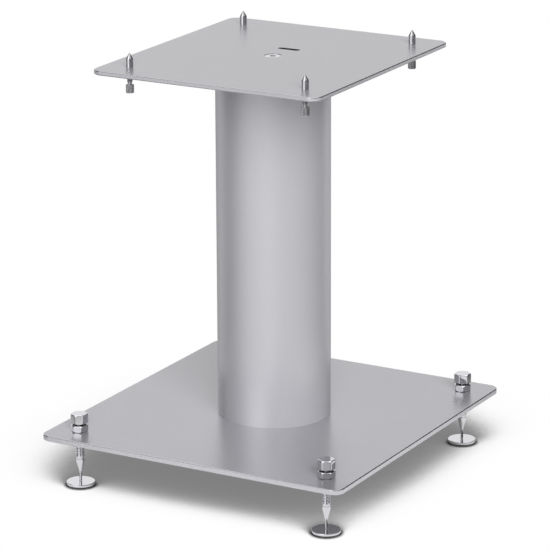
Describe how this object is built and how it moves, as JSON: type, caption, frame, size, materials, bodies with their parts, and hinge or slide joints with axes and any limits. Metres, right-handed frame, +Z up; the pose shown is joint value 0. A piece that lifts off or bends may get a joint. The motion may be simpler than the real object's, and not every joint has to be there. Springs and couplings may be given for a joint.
{
  "type": "speaker stand",
  "caption": "Low speaker stand: steel base plate on adjustable floor spikes with discs, round column, and a smaller top plate with adjustable spike tips under the speaker.",
  "frame": {"origin": "on the floor, under the middle of the stand's footprint, which is also the column's axis", "axes": "+Z up, -Y towards the front edge of the base plate, +X to the right seen from the front"},
  "size_m": [0.3, 0.315, 0.3904],
  "materials": {
    "silver_enamel": "satin",
    "chrome": "polished",
    "nickel": "satin",
    "welded_steel": "turned",
    "black_oxide_steel": "satin",
    "felt": "matt"
  },
  "bodies": {
    "root": {"base_plate": "silver_enamel", "column_tube": "silver_enamel", "base_flange": "welded_steel", "top_flange": "welded_steel", "top_plate": "silver_enamel", "base_plate_screw": "black_oxide_steel", "top_plate_screw": "chrome"},
    "disc_front_left": {"floor_disc_front_left": "chrome", "disc_pad_front_left": "felt"},
    "spike_front_left": {"floor_spike_front_left": "chrome", "spike_cap_front_left": "chrome"},
    "nut_front_left": {"lock_nut_front_left": "chrome"},
    "tip_front_left": {"spike_tip_front_left": "chrome"},
    "thumb_front_left": {"thumb_screw_front_left": "nickel"},
    "disc_front_right": {"floor_disc_front_right": "chrome", "disc_pad_front_right": "felt"},
    "spike_front_right": {"floor_spike_front_right": "chrome", "spike_cap_front_right": "chrome"},
    "nut_front_right": {"lock_nut_front_right": "chrome"},
    "tip_front_right": {"spike_tip_front_right": "chrome"},
    "thumb_front_right": {"thumb_screw_front_right": "nickel"},
    "disc_back_left": {"floor_disc_back_left": "chrome", "disc_pad_back_left": "felt"},
    "spike_back_left": {"floor_spike_back_left": "chrome", "spike_cap_back_left": "chrome"},
    "nut_back_left": {"lock_nut_back_left": "chrome"},
    "tip_back_left": {"spike_tip_back_left": "chrome"},
    "thumb_back_left": {"thumb_screw_back_left": "nickel"},
    "disc_back_right": {"floor_disc_back_right": "chrome", "disc_pad_back_right": "felt"},
    "spike_back_right": {"floor_spike_back_right": "chrome", "spike_cap_back_right": "chrome"},
    "nut_back_right": {"lock_nut_back_right": "chrome"},
    "tip_back_right": {"spike_tip_back_right": "chrome"},
    "thumb_back_right": {"thumb_screw_back_right": "nickel"}
  },
  "joints": [
    {"name": "foot_height_front_left", "type": "slide", "parent": "root", "child": "disc_front_left", "axis": [0, 0, 1], "range_m": [0, 0.01]},
    {"name": "spike_turn_front_left", "type": "hinge", "parent": "disc_front_left", "child": "spike_front_left", "pos_m": [-0.124, -0.1315, 0.0038], "axis": [0, 0, 1], "range_deg": [0, 2880]},
    {"name": "nut_turn_front_left", "type": "hinge", "parent": "root", "child": "nut_front_left", "pos_m": [-0.124, -0.1315, 0.0508], "axis": [0, 0, 1], "range_deg": [0, 90]},
    {"name": "tip_height_front_left", "type": "slide", "parent": "root", "child": "tip_front_left", "axis": [0, 0, 1], "range_m": [0, 0.01]},
    {"name": "thumb_turn_front_left", "type": "hinge", "parent": "tip_front_left", "child": "thumb_front_left", "pos_m": [-0.086, -0.0985, 0.3778], "axis": [0, 0, 1], "range_deg": [0, 4500]},
    {"name": "foot_height_front_right", "type": "slide", "parent": "root", "child": "disc_front_right", "axis": [0, 0, 1], "range_m": [0, 0.01]},
    {"name": "spike_turn_front_right", "type": "hinge", "parent": "disc_front_right", "child": "spike_front_right", "pos_m": [0.124, -0.1315, 0.0038], "axis": [0, 0, 1], "range_deg": [0, 2880]},
    {"name": "nut_turn_front_right", "type": "hinge", "parent": "root", "child": "nut_front_right", "pos_m": [0.124, -0.1315, 0.0508], "axis": [0, 0, 1], "range_deg": [0, 90]},
    {"name": "tip_height_front_right", "type": "slide", "parent": "root", "child": "tip_front_right", "axis": [0, 0, 1], "range_m": [0, 0.01]},
    {"name": "thumb_turn_front_right", "type": "hinge", "parent": "tip_front_right", "child": "thumb_front_right", "pos_m": [0.086, -0.0985, 0.3778], "axis": [0, 0, 1], "range_deg": [0, 4500]},
    {"name": "foot_height_back_left", "type": "slide", "parent": "root", "child": "disc_back_left", "axis": [0, 0, 1], "range_m": [0, 0.01]},
    {"name": "spike_turn_back_left", "type": "hinge", "parent": "disc_back_left", "child": "spike_back_left", "pos_m": [-0.124, 0.1315, 0.0038], "axis": [0, 0, 1], "range_deg": [0, 2880]},
    {"name": "nut_turn_back_left", "type": "hinge", "parent": "root", "child": "nut_back_left", "pos_m": [-0.124, 0.1315, 0.0508], "axis": [0, 0, 1], "range_deg": [0, 90]},
    {"name": "tip_height_back_left", "type": "slide", "parent": "root", "child": "tip_back_left", "axis": [0, 0, 1], "range_m": [0, 0.01]},
    {"name": "thumb_turn_back_left", "type": "hinge", "parent": "tip_back_left", "child": "thumb_back_left", "pos_m": [-0.086, 0.0985, 0.3778], "axis": [0, 0, 1], "range_deg": [0, 4500]},
    {"name": "foot_height_back_right", "type": "slide", "parent": "root", "child": "disc_back_right", "axis": [0, 0, 1], "range_m": [0, 0.01]},
    {"name": "spike_turn_back_right", "type": "hinge", "parent": "disc_back_right", "child": "spike_back_right", "pos_m": [0.124, 0.1315, 0.0038], "axis": [0, 0, 1], "range_deg": [0, 2880]},
    {"name": "nut_turn_back_right", "type": "hinge", "parent": "root", "child": "nut_back_right", "pos_m": [0.124, 0.1315, 0.0508], "axis": [0, 0, 1], "range_deg": [0, 90]},
    {"name": "tip_height_back_right", "type": "slide", "parent": "root", "child": "tip_back_right", "axis": [0, 0, 1], "range_m": [0, 0.01]},
    {"name": "thumb_turn_back_right", "type": "hinge", "parent": "tip_back_right", "child": "thumb_back_right", "pos_m": [0.086, 0.0985, 0.3778], "axis": [0, 0, 1], "range_deg": [0, 4500]}
  ],
  "couplings": [
    {"joint": "spike_turn_front_left", "follows": "foot_height_front_left", "rad_per_m": 5026.5},
    {"joint": "thumb_turn_front_left", "follows": "tip_height_front_left", "rad_per_m": 7854},
    {"joint": "spike_turn_front_right", "follows": "foot_height_front_right", "rad_per_m": 5026.5},
    {"joint": "thumb_turn_front_right", "follows": "tip_height_front_right", "rad_per_m": 7854},
    {"joint": "spike_turn_back_left", "follows": "foot_height_back_left", "rad_per_m": 5026.5},
    {"joint": "thumb_turn_back_left", "follows": "tip_height_back_left", "rad_per_m": 7854},
    {"joint": "spike_turn_back_right", "follows": "foot_height_back_right", "rad_per_m": 5026.5},
    {"joint": "thumb_turn_back_right", "follows": "tip_height_back_right", "rad_per_m": 7854}
  ]
}
